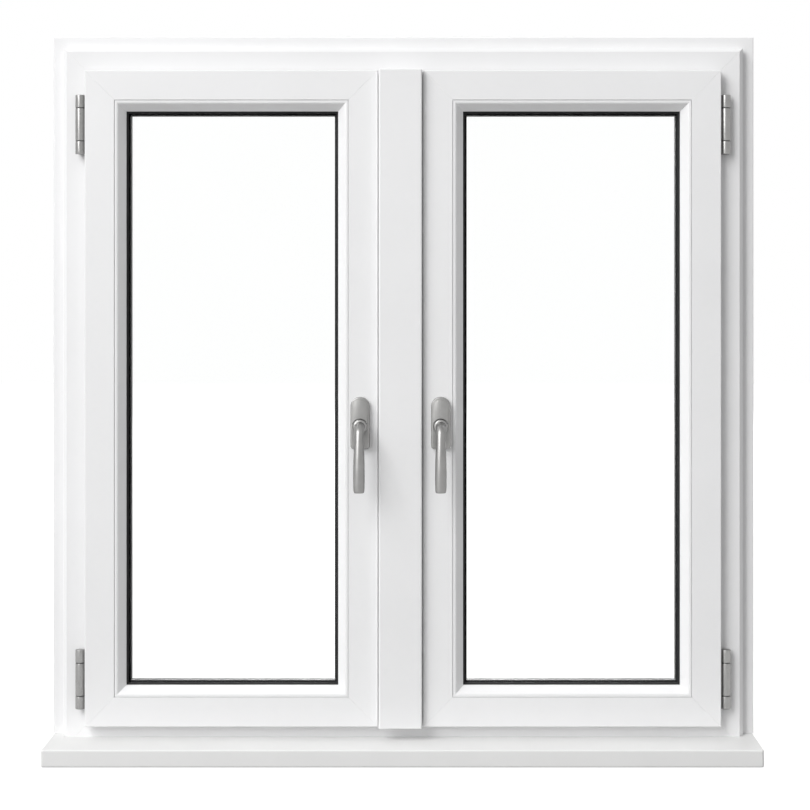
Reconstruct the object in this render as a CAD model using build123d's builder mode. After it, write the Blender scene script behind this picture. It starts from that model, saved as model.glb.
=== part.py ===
from build123d import *
import os
from math import acos, cos, pi, radians, sin, sqrt, tan
from typing import NamedTuple

# Two-leaf casement window that opens into the room. X runs right as seen from the room, Y outdoors, Z up.
# The origin is on the floor of the opening, mid-width, in the wall plane behind the renovation flange.


class Area(NamedTuple):
    """Upright rectangle seen from the room."""

    left: float
    right: float
    bottom: float
    top: float

    def inset(self, margin):
        """Return the rectangle drawn in by a margin on every side."""
        return Area(self.left + margin, self.right - margin, self.bottom + margin, self.top - margin)

    def size(self):
        """Return width and height."""
        return (self.right - self.left, self.top - self.bottom)

    def centre(self):
        """Return the middle as X and Z."""
        return ((self.left + self.right) / 2, (self.bottom + self.top) / 2)


# Depth planes, negative towards the room
FLANGE_FRONT = -8.0
FRAME_FRONT = -28.0
FRAME_BACK = 42.0
SASH_FRONT = -48.0
SASH_BACK = 22.0
STRIP_FRONT = -61.0
SEAL_GAP = 4.0
LIP_BACK = FRAME_FRONT - SEAL_GAP
STOP_FRONT = SASH_BACK + SEAL_GAP

# Fixed frame
BASE_HEIGHT = 11.0
FRAME = Area(-550.0, 550.0, BASE_HEIGHT, 1143.0)
FLANGE_WIDTH = 20.0
FRAME_BEVEL = 6.0
REVEAL = 38.5
LIP_OVERLAP = 8.0
NOSE = REVEAL + LIP_OVERLAP
STOP_REACH = 21.5
WALL = 3.0
EDGE_ROUND = 1.5
MITRE_GROOVE = 0.4
STEEL_WALL = 1.5
STEEL_PLAY = 1.0

# Mullion and its raised strip
MULLION_X = -4.0
STRIP_WIDTH = 70.0
STRIP_GAP = 1.2
MEETING_EDGE = STRIP_WIDTH / 2 + STRIP_GAP
MULLION_NOSE = MEETING_EDGE + LIP_OVERLAP
STRIP_ROUND = 3.0
CAP_THICKNESS = 2.5

# Leaves
SASH_BOTTOM = FRAME.bottom + REVEAL
SASH_TOP = FRAME.top - REVEAL
SASH_AREAS = {
    "left": Area(FRAME.left + REVEAL, MULLION_X - MEETING_EDGE, SASH_BOTTOM, SASH_TOP),
    "right": Area(MULLION_X + MEETING_EDGE, FRAME.right - REVEAL, SASH_BOTTOM, SASH_TOP),
}
LIP_WIDTH = 20.0
FACE_WIDTH = 47.5
BEAD_WIDTH = 17.0
SIGHT_LINE = FACE_WIDTH + BEAD_WIDTH
BEAD_FLAT = 5.0
BEAD_LIP = 4.0
BEAD_BREAK = 2.0
BEAD_ROUND = 5.0
JOINT_BREAK = 0.4
JOINT_GAP = 0.7
JOINT_DEPTH = 3.0
GROOVE_DEPTH = 9.0
GROOVE_WIDTH = 16.0
GROOVE_Y = 1.0

# Sealed glass unit, from the room outwards
BEAD_FRONT = SASH_FRONT + 0.6
GASKET_THICKNESS = 3.0
PANE = 4.0
CAVITY = 16.0
BEAD_BACK = SASH_FRONT + 18.0
INNER_PANE = BEAD_BACK + GASKET_THICKNESS
CAVITY_FRONT = INNER_PANE + PANE
OUTER_PANE = CAVITY_FRONT + CAVITY
GLASS_BACK = OUTER_PANE + PANE
LEG_FRONT = GLASS_BACK + GASKET_THICKNESS
GLASS_INSET = FACE_WIDTH + 5.0
SPACER_INSET = SIGHT_LINE + 6.0
SPACER_PLAY = 1.0
GASKET_SHOW = 3.0
GASKET_BURIED = 7.0
BLOCK_LENGTH = 100.0
BLOCK_SPACING = 260.0
BLOCK_DEPTH = 22.0

# Window board
SILL_HALF = 569.0
SILL_FRONT = -112.0
SILL_TOP_BACK = 30.5
SILL_TOP_FRONT = 27.5
SILL_NOSE_ROUND = 2.5
SILL_CORNER_ROUND = 4.0

# Barrel hinges
HINGE_X = 520.0
HINGE_Y = -38.0
HINGE_HEIGHTS = (124.6, 1018.0)
KNUCKLE_RADIUS = 8.0
END_KNUCKLE = 20.5
MIDDLE_KNUCKLE = 52.0
WASHER_THICKNESS = 1.0
WASHER_RADIUS = 7.4
PIN_RADIUS = 4.0
PIN_PLAY = 0.05
END_CHAMFER = 1.4
STUD_RADIUS = 3.0
STUD_PLAY = 0.2
FRAME_STUD_REACH = 34.0
SASH_STUD_REACH = 30.0
SASH_STUD_SPACING = 30.0
STUD_ROOT = 2.0
STUD_END_GAP = 2.0

# Handles
PIVOT_Z = 533.0
HANDLE_INSET = 28.5
COVER_WIDTH = 30.8
COVER_TOP = 47.0
COVER_BOTTOM = 36.0
COVER_HEIGHT = 8.0
COVER_WALL = 1.6
COVER_CORNER = 4.0
COVER_CHAMFER = 2.0
HOOD_WIDTH = 24.4
HOOD_TOP = 44.0
HOOD_HEIGHT = 8.0
HOOD_CHAMFER = 1.5
HOOD_ARC_GAP = 0.8
COLLAR_RADIUS = 12.0
NECK_RADIUS = 7.8
COLLAR_PLAY = 0.4
BASE_THICKNESS = 5.0
BASE_PLAY = 0.3
SCREW_SPACING = 43.0
SCREW_RADIUS = 2.5
SCREW_HEAD_RADIUS = 4.6
SPINDLE = 7.0
SPINDLE_PLAY = 0.1
SPINDLE_TUNNEL = 6.0
GRIP_OFFSET = 48.0
ELBOW_RADIUS = 20.0
LEVER_DROP = 103.0
GRIP_RADIUS = 9.2
GRIP_SWELL = 72.0
GRIP_BULGE = 0.2
END_RADIUS = 8.2
END_ROUND = 1.6

# Lock gear in the meeting stile
PINION_TEETH = 12
GEAR_MODULE = 1.0
PITCH_RADIUS = GEAR_MODULE * PINION_TEETH / 2
PRESSURE_ANGLE = radians(20)
PINION_ADDENDUM = 0.9
RACK_ADDENDUM = 0.65
TOOTH_CLEARANCE = 0.25
BACKLASH = 0.3
RACK_TEETH = 10
PINION_WIDTH = 10.0
HUB_RADIUS = 5.0
HUB_PLAY = 0.08
BAR_THICKNESS = 1.8
BAR_WIDTH = 11.0
BAR_END_GAP = 60.0
CASE_HALF = 48.0
CASE_WALL = 2.0
CASE_REACH = 41.0
CASE_PLAY = 0.3
CAM_RADIUS = 4.5
CAM_SHANK_RADIUS = 3.0
CAM_REACH = 7.0
CAM_HEIGHTS = (190.0, 410.0, 960.0)
KEEP_LENGTH = 60.0
KEEP_THICKNESS = 2.0
KEEP_LIP = 2.6

# Frame fixings into the masonry
FIXING_HEIGHTS = (207.0, 947.0)
FIXING_RADIUS = 4.0
FIXING_Y = 8.0

SIDES = ("left", "top", "right", "bottom")

os.makedirs("parts", exist_ok=True)


def save(shape, name):
    """Name a finished piece and write it out."""
    shape.label = name
    export_step(shape, f"parts/{name}.step")


def group(pieces):
    """Keep several like solids together as one named piece."""
    return Compound(children=list(pieces))


def bar_plane(area, side):
    """Section plane at the start corner of one side: X points into the opening, Y outdoors."""
    if side == "left":
        return Plane((area.left, 0, area.bottom), x_dir=(1, 0, 0), z_dir=(0, 0, 1))
    if side == "top":
        return Plane((area.left, 0, area.top), x_dir=(0, 0, -1), z_dir=(1, 0, 0))
    if side == "right":
        return Plane((area.right, 0, area.top), x_dir=(-1, 0, 0), z_dir=(0, 0, -1))
    return Plane((area.right, 0, area.bottom), x_dir=(0, 0, 1), z_dir=(-1, 0, 0))


def bar_length(area, side):
    """Length of one side of a rectangle."""
    width, height = area.size()
    return height if side in ("left", "right") else width


def mitre_ends(plane, length):
    """Cut both ends of the bar being built at 45 degrees through the rectangle's corners."""
    run, inward = plane.z_dir, plane.x_dir
    far_corner = plane.origin + run * length
    split(bisect_by=Plane(plane.origin, z_dir=run - inward), keep=Keep.TOP)
    split(bisect_by=Plane(far_corner, z_dir=-run - inward), keep=Keep.TOP)


def mitred_bar(area, side, profile):
    """Extrude a section along one side of a rectangle and mitre it."""
    plane = bar_plane(area, side)
    length = bar_length(area, side)
    with BuildPart() as bar:
        with BuildSketch(plane):
            add(profile)
        extrude(amount=length)
        mitre_ends(plane, length)
    return bar.part


def groove_mitres(plane, length, face_depth, face_width):
    """Cut a shallow V along both mitres of the room face, as a cleaned weld leaves."""
    run, inward = plane.z_dir, plane.x_dir
    far_corner = plane.origin + run * length
    side = MITRE_GROOVE * sqrt(2)
    for corner, along in ((plane.origin, inward + run), (far_corner, inward - run)):
        with Locations(Plane((corner.X, face_depth, corner.Z), x_dir=along, z_dir=(0, 1, 0))):
            Box(2 * sqrt(2) * face_width, side, side, rotation=(45, 0, 0), mode=Mode.SUBTRACT)


def chamber(left, right, front, back):
    """Cut one rectangular chamber into the section being drawn."""
    with Locations(((left + right) / 2, (front + back) / 2)):
        Rectangle(right - left, back - front, mode=Mode.SUBTRACT)


def tube_section(left, right, front, back):
    """Section of a thin steel tube."""
    with BuildSketch() as section:
        with Locations(((left + right) / 2, (front + back) / 2)):
            Rectangle(right - left, back - front)
            Rectangle(right - left - 2 * STEEL_WALL, back - front - 2 * STEEL_WALL, mode=Mode.SUBTRACT)
    return section.sketch


def ring(area, outer_inset, inner_inset, front, back):
    """Rectangular loop between two insets of an area, from one depth to another."""
    with BuildPart() as loop:
        with BuildSketch(Plane.XZ.offset(-front)):
            with Locations(area.centre()):
                Rectangle(*area.inset(outer_inset).size())
                Rectangle(*area.inset(inner_inset).size(), mode=Mode.SUBTRACT)
        extrude(amount=front - back)
    return loop.part


# Frame profiles
STOP_TIP = NOSE + STOP_REACH
STEEL_FRONT = -7.0
STEEL_BACK = STOP_FRONT - WALL - 3.0


def frame_section(flanged):
    """Section of a frame profile: X from the outer edge into the opening, Y outdoors."""
    with BuildSketch() as section:
        with BuildLine():
            Polyline(
                (0, FLANGE_FRONT),
                (0, FRAME_FRONT + FRAME_BEVEL),
                (FRAME_BEVEL, FRAME_FRONT),
                (NOSE, FRAME_FRONT),
                (NOSE, STOP_FRONT),
                (STOP_TIP, STOP_FRONT),
                (STOP_TIP, FRAME_BACK),
                (0, FRAME_BACK),
                close=True,
            )
        make_face()
        if flanged:
            with Locations((-FLANGE_WIDTH / 2, FLANGE_FRONT / 2)):
                Rectangle(FLANGE_WIDTH, -FLANGE_FRONT)
        corners = [
            corner
            for corner in section.vertices()
            if (corner.X, corner.Y) in ((NOSE, FRAME_FRONT), (STOP_TIP, FRAME_BACK), (STOP_TIP, STOP_FRONT))
            or (corner.X < -WALL and corner.Y < -WALL)
        ]
        fillet(corners, EDGE_ROUND)
        chamber(FRAME_BEVEL + WALL, NOSE - WALL, FRAME_FRONT + WALL, STEEL_FRONT - WALL)
        chamber(WALL, NOSE - WALL, STEEL_FRONT, STEEL_BACK)
        chamber(WALL, STOP_TIP - WALL, STOP_FRONT + WALL, FRAME_BACK - WALL)
    return section.sketch


FRAME_TUBE = tube_section(
    WALL + STEEL_PLAY, NOSE - WALL - STEEL_PLAY, STEEL_FRONT + STEEL_PLAY, STEEL_BACK - STEEL_PLAY
)


def frame_tube_area(side):
    """Length range of the steel in one frame bar, short of the mitres."""
    return STOP_TIP, bar_length(FRAME, side) - STOP_TIP


def hinge_stud_locations(sign):
    """Centres of the frame studs of both hinges on one side."""
    reach = (MIDDLE_KNUCKLE + END_KNUCKLE) / 2 + WASHER_THICKNESS
    return [(sign * HINGE_X, height + step) for height in HINGE_HEIGHTS for step in (-reach, reach)]


def frame_bar(side):
    """One mitred frame profile with its flange, fixing holes and hinge holes."""
    plane = bar_plane(FRAME, side)
    length = bar_length(FRAME, side)
    upright = side in ("left", "right")
    sign = -1 if side == "left" else 1
    with BuildPart() as bar:
        with BuildSketch(plane.offset(-FLANGE_WIDTH)):
            add(frame_section(side != "bottom"))
        extrude(amount=length + 2 * FLANGE_WIDTH)
        mitre_ends(plane, length)
        groove_mitres(plane, length, FRAME_FRONT, NOSE)
        if upright:
            with Locations((sign * (FRAME.right + FLANGE_WIDTH), 0, 0)):
                Box(2 * FLANGE_WIDTH, 4 * FLANGE_WIDTH, 2 * SILL_TOP_BACK, mode=Mode.SUBTRACT)
            with BuildSketch(Plane.YZ.offset(sign * FRAME.right)):
                with Locations(*[(FIXING_Y, height) for height in FIXING_HEIGHTS]):
                    Circle(FIXING_RADIUS)
            extrude(amount=-sign * (NOSE + WALL), mode=Mode.SUBTRACT)
            with BuildSketch(Plane.XZ.offset(-FRAME_FRONT)):
                with Locations(*hinge_stud_locations(sign)):
                    Circle(STUD_RADIUS + STUD_PLAY)
            extrude(amount=-FRAME_STUD_REACH, mode=Mode.SUBTRACT)
    return bar.part


def frame_steel(side):
    """Steel tube in one frame bar, pierced where the fixings and hinge studs pass."""
    plane = bar_plane(FRAME, side)
    start, stop = frame_tube_area(side)
    sign = -1 if side == "left" else 1
    with BuildPart() as tube:
        with BuildSketch(plane.offset(start)):
            add(FRAME_TUBE)
        extrude(amount=stop - start)
        if side in ("left", "right"):
            with BuildSketch(Plane.YZ.offset(sign * FRAME.right)):
                with Locations(*[(FIXING_Y, height) for height in FIXING_HEIGHTS]):
                    Circle(FIXING_RADIUS + STEEL_PLAY)
            extrude(amount=-sign * NOSE, mode=Mode.SUBTRACT)
            with BuildSketch(Plane.XZ.offset(-FRAME_FRONT)):
                with Locations(*hinge_stud_locations(sign)):
                    Circle(STUD_RADIUS + STEEL_PLAY)
            extrude(amount=-FRAME_STUD_REACH, mode=Mode.SUBTRACT)
    return tube.part


# Mullion between the head and the bottom rail, coped over the frame's stops
def mullion_outline():
    """Solid T-section of the mullion about its own middle."""
    with BuildSketch() as section:
        with Locations((0, (FRAME_FRONT + STOP_FRONT) / 2)):
            Rectangle(2 * MULLION_NOSE, STOP_FRONT - FRAME_FRONT)
        with Locations((0, (STOP_FRONT + FRAME_BACK) / 2)):
            Rectangle(2 * (MULLION_NOSE + STOP_REACH), FRAME_BACK - STOP_FRONT)
        outer = [corner for corner in section.vertices() if corner.Y in (FRAME_FRONT, FRAME_BACK)]
        fillet(outer, EDGE_ROUND)
    return section.sketch


MULLION_BOTTOM = FRAME.bottom + NOSE
MULLION_TOP = FRAME.top - NOSE
MULLION_TUBE = tube_section(
    WALL + STEEL_PLAY - MULLION_NOSE,
    MULLION_NOSE - WALL - STEEL_PLAY,
    STEEL_FRONT + STEEL_PLAY,
    STEEL_BACK - STEEL_PLAY,
)


def upright_plane(height):
    """Level plane over the mullion's middle, with Y outdoors."""
    return Plane((MULLION_X, 0, height))


with BuildPart() as mullion:
    with BuildSketch(upright_plane(MULLION_BOTTOM)):
        add(mullion_outline())
        chamber(WALL - MULLION_NOSE, MULLION_NOSE - WALL, FRAME_FRONT + WALL, STEEL_FRONT - WALL)
        chamber(WALL - MULLION_NOSE, MULLION_NOSE - WALL, STEEL_FRONT, STEEL_BACK)
        stop_half = MULLION_NOSE + STOP_REACH - WALL
        chamber(-stop_half, stop_half, STOP_FRONT + WALL, FRAME_BACK - WALL)
    extrude(amount=MULLION_TOP - MULLION_BOTTOM)
    cope_width = 2 * (MULLION_NOSE + STOP_REACH + WALL)
    for height in (MULLION_BOTTOM, MULLION_TOP):
        with Locations((MULLION_X, (STOP_FRONT + FRAME_BACK) / 2, height)):
            Box(cope_width, FRAME_BACK - STOP_FRONT, 2 * STOP_REACH, mode=Mode.SUBTRACT)

with BuildPart() as mullion_steel:
    with BuildSketch(upright_plane(MULLION_BOTTOM + STOP_REACH)):
        add(MULLION_TUBE)
    extrude(amount=MULLION_TOP - MULLION_BOTTOM - 2 * STOP_REACH)

# Raised strip: a hollow cover clipped on the mullion's room face, closed by caps
with BuildPart() as mullion_cover:
    with BuildSketch(upright_plane(SASH_BOTTOM + CAP_THICKNESS)):
        with Locations((0, (STRIP_FRONT + FRAME_FRONT) / 2)):
            Rectangle(STRIP_WIDTH, FRAME_FRONT - STRIP_FRONT)
    extrude(amount=SASH_TOP - SASH_BOTTOM - 2 * CAP_THICKNESS)
    front_edges = mullion_cover.edges().filter_by(Axis.Z).group_by(Axis.Y)[0]
    fillet(front_edges, STRIP_ROUND)
    with BuildSketch(upright_plane(SASH_BOTTOM)):
        for offset in (-STRIP_WIDTH / 4, STRIP_WIDTH / 4):
            with Locations((offset, (STRIP_FRONT + FRAME_FRONT) / 2)):
                Rectangle(STRIP_WIDTH / 2 - 1.5 * WALL, FRAME_FRONT - STRIP_FRONT - 2 * WALL)
    extrude(amount=SASH_TOP - SASH_BOTTOM, mode=Mode.SUBTRACT)


def strip_cap(height):
    """Cap with the strip's outline and a rounded rim, plugging one end."""
    with BuildPart() as cap:
        with BuildSketch(upright_plane(height)):
            with Locations((0, (STRIP_FRONT + FRAME_FRONT) / 2)):
                Rectangle(STRIP_WIDTH, FRAME_FRONT - STRIP_FRONT)
        extrude(amount=CAP_THICKNESS)
        fillet(cap.edges().filter_by(Axis.Z).group_by(Axis.Y)[0], STRIP_ROUND)
        outer = cap.faces().sort_by(Axis.Z)[0 if height == SASH_BOTTOM else -1]
        chamfer(outer.edges().sort_by(Axis.Y)[:-1], MITRE_GROOVE)
    return cap.part


save(mullion.part, "mullion")
save(mullion_cover.part, "mullion_cover")
save(group([strip_cap(SASH_BOTTOM), strip_cap(SASH_TOP - CAP_THICKNESS)]), "mullion_cover_caps")

FRAME_NAMES = {
    "left": "frame_left_jamb",
    "right": "frame_right_jamb",
    "top": "frame_head",
    "bottom": "frame_bottom_rail",
}
for side in SIDES:
    save(frame_bar(side), FRAME_NAMES[side])
save(group([frame_steel(side) for side in SIDES] + [mullion_steel.part]), "frame_reinforcements")

# Base profile under the bottom rail, three chambers in a row
BASE_FRONT = -20.0
BASE_BACK = 38.0
BASE_CHAMBERS = 3
with BuildPart() as base_profile:
    with BuildSketch(Plane((FRAME.left, 0, 0), x_dir=(0, 1, 0), z_dir=(1, 0, 0))):
        with Locations(((BASE_FRONT + BASE_BACK) / 2, BASE_HEIGHT / 2)):
            Rectangle(BASE_BACK - BASE_FRONT, BASE_HEIGHT)
            pitch = (BASE_BACK - BASE_FRONT - WALL) / BASE_CHAMBERS
            with GridLocations(pitch, 1, BASE_CHAMBERS, 1):
                Rectangle(pitch - WALL, BASE_HEIGHT - 2 * WALL, mode=Mode.SUBTRACT)
    extrude(amount=FRAME.right - FRAME.left)
save(base_profile.part, "base_profile")

# Window board: notched round the frame, its top falling to a rounded nose
with BuildPart() as window_sill:
    with BuildSketch(Plane((-SILL_HALF, 0, 0), x_dir=(0, 1, 0), z_dir=(1, 0, 0))) as board:
        with BuildLine():
            Polyline((0, 0), (SILL_FRONT, 0), (SILL_FRONT, SILL_TOP_FRONT), (0, SILL_TOP_BACK), close=True)
        make_face()
    extrude(amount=2 * SILL_HALF)
    fillet(window_sill.edges().filter_by(Axis.Z).group_by(Axis.Y)[0], SILL_CORNER_ROUND)
    nose = window_sill.faces().sort_by(Axis.Y)[0]
    fillet(nose.edges().filter_by(Axis.X), SILL_NOSE_ROUND)
    with Locations((0, FRAME_FRONT / 2, SILL_TOP_BACK / 2)):
        Box(FRAME.right - FRAME.left, -FRAME_FRONT, 2 * SILL_TOP_BACK, mode=Mode.SUBTRACT)
save(window_sill.part, "window_sill")

# Stop seals, one loop in each opening
SEAL_PLAY = 0.5
SEAL_WIDTH = 5.0
STOP_SEAL_INSET = LIP_WIDTH + SEAL_WIDTH / 2
LIP_SEAL_INSET = SEAL_WIDTH / 2
stop_seals = [
    ring(area, STOP_SEAL_INSET, STOP_SEAL_INSET + SEAL_WIDTH, SASH_BACK + SEAL_PLAY, STOP_FRONT)
    for area in SASH_AREAS.values()
]
save(group(stop_seals), "frame_gaskets")


# Barrel hinges
def knuckle(sign, bottom, height):
    """Barrel with a bore for the pin, standing on the hinge axis."""
    with BuildPart() as barrel:
        with BuildSketch(Plane((sign * HINGE_X, HINGE_Y, bottom))):
            Circle(KNUCKLE_RADIUS)
            Circle(PIN_RADIUS + PIN_PLAY, mode=Mode.SUBTRACT)
        extrude(amount=height)
    return barrel.part


def end_knuckle(sign, bottom, open_down):
    """Frame barrel of one hinge: blind, bevelled at its free end, with a stud into the jamb."""
    with BuildPart() as barrel:
        with Locations((sign * HINGE_X, HINGE_Y, bottom + END_KNUCKLE / 2)):
            Cylinder(KNUCKLE_RADIUS, END_KNUCKLE)
        free_end = barrel.edges().sort_by(Axis.Z)[-1 if open_down else 0]
        chamfer(free_end, END_CHAMFER)
        shift = -WALL if open_down else WALL
        with Locations((sign * HINGE_X, HINGE_Y, bottom + END_KNUCKLE / 2 + shift)):
            Cylinder(PIN_RADIUS, END_KNUCKLE, mode=Mode.SUBTRACT)
        stud_start = HINGE_Y + KNUCKLE_RADIUS - STUD_ROOT
        with BuildSketch(Plane.XZ.offset(-stud_start)):
            with Locations((sign * HINGE_X, bottom + END_KNUCKLE / 2)):
                Circle(STUD_RADIUS)
        extrude(amount=stud_start - FRAME_FRONT - FRAME_STUD_REACH + STUD_END_GAP)
    return barrel.part


def middle_knuckle(sign, height):
    """Leaf barrel of one hinge with two studs into the lip's edge."""
    bottom = height - MIDDLE_KNUCKLE / 2
    with BuildPart() as barrel:
        add(knuckle(sign, bottom, MIDDLE_KNUCKLE))
        with BuildSketch(Plane.YZ.offset(sign * (HINGE_X - KNUCKLE_RADIUS + STUD_ROOT))):
            for step in (-SASH_STUD_SPACING / 2, SASH_STUD_SPACING / 2):
                with Locations((HINGE_Y, height + step)):
                    Circle(STUD_RADIUS)
        extrude(amount=-sign * SASH_STUD_REACH)
    return barrel.part


def hinge_pin(sign, height):
    """Steel pin held in the blind end barrels."""
    length = MIDDLE_KNUCKLE + 2 * (WASHER_THICKNESS + END_KNUCKLE - WALL)
    with BuildPart() as pin:
        with Locations((sign * HINGE_X, HINGE_Y, height)):
            Cylinder(PIN_RADIUS, length)
        chamfer(pin.edges().group_by(Axis.Z)[0] + pin.edges().group_by(Axis.Z)[-1], 2 * MITRE_GROOVE)
    return pin.part


def hinge_washer(sign, height):
    """Bearing ring between two barrels."""
    with BuildPart() as washer:
        with Locations((sign * HINGE_X, HINGE_Y, height)):
            Cylinder(WASHER_RADIUS, WASHER_THICKNESS)
            Cylinder(PIN_RADIUS + PIN_PLAY, WASHER_THICKNESS, mode=Mode.SUBTRACT)
    return washer.part


HINGES = [(sign, height) for sign in (-1, 1) for height in HINGE_HEIGHTS]
MIDDLE_HALF = MIDDLE_KNUCKLE / 2
WASHER_STEP = MIDDLE_HALF + WASHER_THICKNESS / 2
RUNNING_GAP = 0.15
frame_knuckles = []
for sign, height in HINGES:
    frame_knuckles.append(end_knuckle(sign, height + MIDDLE_HALF + WASHER_THICKNESS + RUNNING_GAP, True))
    frame_knuckles.append(
        end_knuckle(sign, height - MIDDLE_HALF - WASHER_THICKNESS - RUNNING_GAP - END_KNUCKLE, False)
    )
save(group(frame_knuckles), "hinge_frame_knuckles")
save(group(hinge_pin(sign, height) for sign, height in HINGES), "hinge_pins")
save(
    group(
        hinge_washer(sign, height + step)
        for sign, height in HINGES
        for step in (-WASHER_STEP - RUNNING_GAP, WASHER_STEP + RUNNING_GAP)
    ),
    "hinge_washers",
)


# Leaf profiles
GROOVE_FRONT = GROOVE_Y - GROOVE_WIDTH / 2
GROOVE_BACK = GROOVE_Y + GROOVE_WIDTH / 2
GROOVE_FLOOR = LIP_WIDTH + GROOVE_DEPTH
SASH_STEEL_FRONT = LIP_BACK + WALL
SASH_STEEL_BACK = GROOVE_FRONT - WALL


def sash_section():
    """Section of a leaf profile: X from the lip's edge to the glass, Y outdoors."""
    with BuildSketch() as section:
        with BuildLine():
            Polyline(
                (0, SASH_FRONT),
                (FACE_WIDTH, SASH_FRONT),
                (FACE_WIDTH, LEG_FRONT),
                (SIGHT_LINE, LEG_FRONT),
                (SIGHT_LINE, SASH_BACK),
                (LIP_WIDTH, SASH_BACK),
                (LIP_WIDTH, GROOVE_BACK),
                (GROOVE_FLOOR, GROOVE_BACK),
                (GROOVE_FLOOR, GROOVE_FRONT),
                (LIP_WIDTH, GROOVE_FRONT),
                (LIP_WIDTH, LIP_BACK),
                (0, LIP_BACK),
                close=True,
            )
        make_face()
        rounded = ((0, SASH_FRONT), (0, LIP_BACK), (SIGHT_LINE, SASH_BACK), (LIP_WIDTH, SASH_BACK))
        fillet([corner for corner in section.vertices() if (corner.X, corner.Y) in rounded], EDGE_ROUND)
        bead_joint = (FACE_WIDTH, SASH_FRONT)
        chamfer([corner for corner in section.vertices() if (corner.X, corner.Y) == bead_joint], JOINT_BREAK)
        chamber(WALL, FACE_WIDTH - WALL, SASH_FRONT + WALL, LIP_BACK - WALL)
        chamber(LIP_WIDTH + WALL, FACE_WIDTH - WALL, SASH_STEEL_FRONT, SASH_STEEL_BACK)
        chamber(GROOVE_FLOOR + WALL, FACE_WIDTH - WALL, GROOVE_FRONT, GROOVE_BACK)
        chamber(FACE_WIDTH, SIGHT_LINE - WALL, LEG_FRONT + WALL, GROOVE_BACK)
        chamber(LIP_WIDTH + WALL, SIGHT_LINE - WALL, GROOVE_BACK + WALL, SASH_BACK - WALL)
    return section.sketch


SASH_TUBE = tube_section(
    LIP_WIDTH + WALL + STEEL_PLAY,
    FACE_WIDTH - WALL - STEEL_PLAY,
    SASH_STEEL_FRONT + STEEL_PLAY,
    SASH_STEEL_BACK - STEEL_PLAY,
)


def bead_section():
    """Section of a glazing bead: a shadow gap by the leaf's face, a narrow flat and a slope to the glass."""
    with BuildSketch() as section:
        slope_start = (FACE_WIDTH + BEAD_FLAT, BEAD_FRONT)
        with BuildLine():
            Polyline(
                (FACE_WIDTH, BEAD_BACK),
                (FACE_WIDTH, BEAD_FRONT + JOINT_DEPTH),
                (FACE_WIDTH + JOINT_GAP, BEAD_FRONT + JOINT_DEPTH),
                (FACE_WIDTH + JOINT_GAP, BEAD_FRONT),
                slope_start,
                (SIGHT_LINE - BEAD_BREAK, BEAD_BACK - BEAD_LIP - BEAD_BREAK),
                (SIGHT_LINE, BEAD_BACK - BEAD_LIP),
                (SIGHT_LINE, BEAD_BACK),
                close=True,
            )
        make_face()
        fillet([corner for corner in section.vertices() if (corner.X, corner.Y) == slope_start], BEAD_ROUND)
    return section.sketch


def inward_sign(hand):
    """Sign of X from the lock stile's lip edge into the leaf."""
    return -1 if hand == "left" else 1


def lock_edge(hand):
    """X of the leaf's lip edge beside the mullion."""
    return SASH_AREAS[hand].right if hand == "left" else SASH_AREAS[hand].left


def handle_x(hand):
    """X of the handle's turning axis."""
    return lock_edge(hand) + inward_sign(hand) * HANDLE_INSET


def sash_rail(hand, side):
    """Mitred profile along one side of a leaf."""
    area = SASH_AREAS[hand]
    with BuildPart() as rail:
        add(mitred_bar(area, side, sash_section()))
        groove_mitres(bar_plane(area, side), bar_length(area, side), SASH_FRONT, FACE_WIDTH)
    return rail.part


def lock_stile(hand, side):
    """Meeting stile with its handle tunnels and the pocket for the lock case."""
    with BuildPart() as stile:
        add(sash_rail(hand, side))
        with BuildSketch(Plane.XZ.offset(-SASH_FRONT)):
            with Locations((handle_x(hand), PIVOT_Z)):
                Circle(SPINDLE_TUNNEL)
                with GridLocations(1, SCREW_SPACING, 1, 2):
                    Circle(SCREW_RADIUS + CASE_PLAY)
        extrude(amount=SASH_FRONT - GROOVE_Y, mode=Mode.SUBTRACT)
        pocket_width = CASE_REACH + CASE_PLAY - LIP_WIDTH
        pocket_middle = lock_edge(hand) + inward_sign(hand) * (LIP_WIDTH + pocket_width / 2)
        with Locations((pocket_middle, GROOVE_Y, PIVOT_Z)):
            Box(pocket_width, GROOVE_WIDTH, 2 * (CASE_HALF + CASE_PLAY), mode=Mode.SUBTRACT)
    return stile.part


def hinge_stile(hand, side):
    """Hinge-side stile with the holes for the hinge studs in its lip."""
    sign = inward_sign(hand)
    with BuildPart() as stile:
        add(sash_rail(hand, side))
        with BuildSketch(Plane.YZ.offset(sign * HINGE_X)):
            for height in HINGE_HEIGHTS:
                for step in (-SASH_STUD_SPACING / 2, SASH_STUD_SPACING / 2):
                    with Locations((HINGE_Y, height + step)):
                        Circle(STUD_RADIUS + STUD_PLAY)
        extrude(amount=-sign * (SASH_STUD_REACH + KNUCKLE_RADIUS), mode=Mode.SUBTRACT)
    return stile.part


def sash_steel(hand, side):
    """Steel tube in one leaf profile, pierced where the handle's tunnels pass."""
    area = SASH_AREAS[hand]
    with BuildPart() as tube:
        with BuildSketch(bar_plane(area, side).offset(SIGHT_LINE)):
            add(SASH_TUBE)
        extrude(amount=bar_length(area, side) - 2 * SIGHT_LINE)
        if side == ("right" if hand == "left" else "left"):
            with BuildSketch(Plane.XZ.offset(-SASH_FRONT)):
                with Locations((handle_x(hand), PIVOT_Z)):
                    Circle(SPINDLE_TUNNEL)
                    with GridLocations(1, SCREW_SPACING, 1, 2):
                        Circle(SCREW_RADIUS + CASE_PLAY)
            extrude(amount=SASH_FRONT - GROOVE_Y, mode=Mode.SUBTRACT)
    return tube.part


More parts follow.
